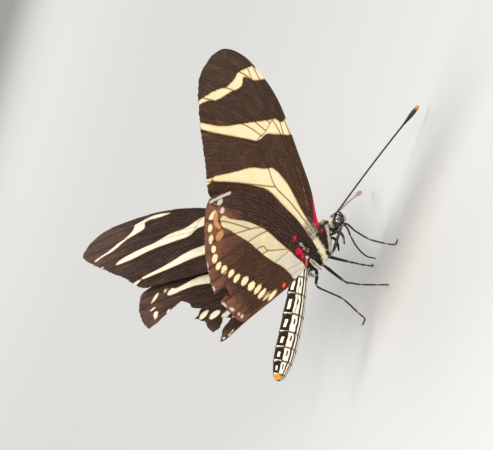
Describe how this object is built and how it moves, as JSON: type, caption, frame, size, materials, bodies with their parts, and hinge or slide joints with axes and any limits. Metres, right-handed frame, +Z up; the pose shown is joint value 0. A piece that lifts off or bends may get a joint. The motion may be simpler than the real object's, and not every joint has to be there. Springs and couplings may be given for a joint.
{
  "type": "zebra longwing butterfly model",
  "caption": "Still life-size long-winged butterfly with pale-striped dark wings, a slim abdomen, clubbed feelers and thin legs, standing by itself on flat soles.",
  "frame": {"origin": "on the floor under the middle of the whole model", "axes": "+X forward towards the head, +Y to the animal's left along the wing span, +Z up"},
  "size_m": [0.0425, 0.0712, 0.0379],
  "materials": {
    "wing_scales": "matt overlapping scales, blackish brown with cream-yellow stripes and spots",
    "body_hair": "short dark brown hair with small cream spots and side stripes",
    "abdomen_scales": "matt dark scales with cream rings and side patches",
    "pale_hair": "short cream and brown hair",
    "cuticle": "satin black-brown cuticle",
    "leg_cuticle": "satin dark brown cuticle with short bristles",
    "eye": "glossy dark brown with fine facets"
  },
  "bodies": {
    "root": {"thorax": "body_hair", "head": "body_hair", "abdomen": "abdomen_scales", "eye_left": "eye", "eye_right": "eye", "antenna_left": "cuticle", "antenna_right": "cuticle", "palp_left": "pale_hair", "palp_right": "pale_hair", "proboscis": "cuticle", "foreleg_left": "pale_hair", "foreleg_right": "pale_hair", "midleg_left": "leg_cuticle", "midleg_right": "leg_cuticle", "hindleg_left": "leg_cuticle", "hindleg_right": "leg_cuticle", "forewing_left": "wing_scales", "forewing_right": "wing_scales", "hindwing_left": "wing_scales", "hindwing_right": "wing_scales"}
  },
  "joints": []
}
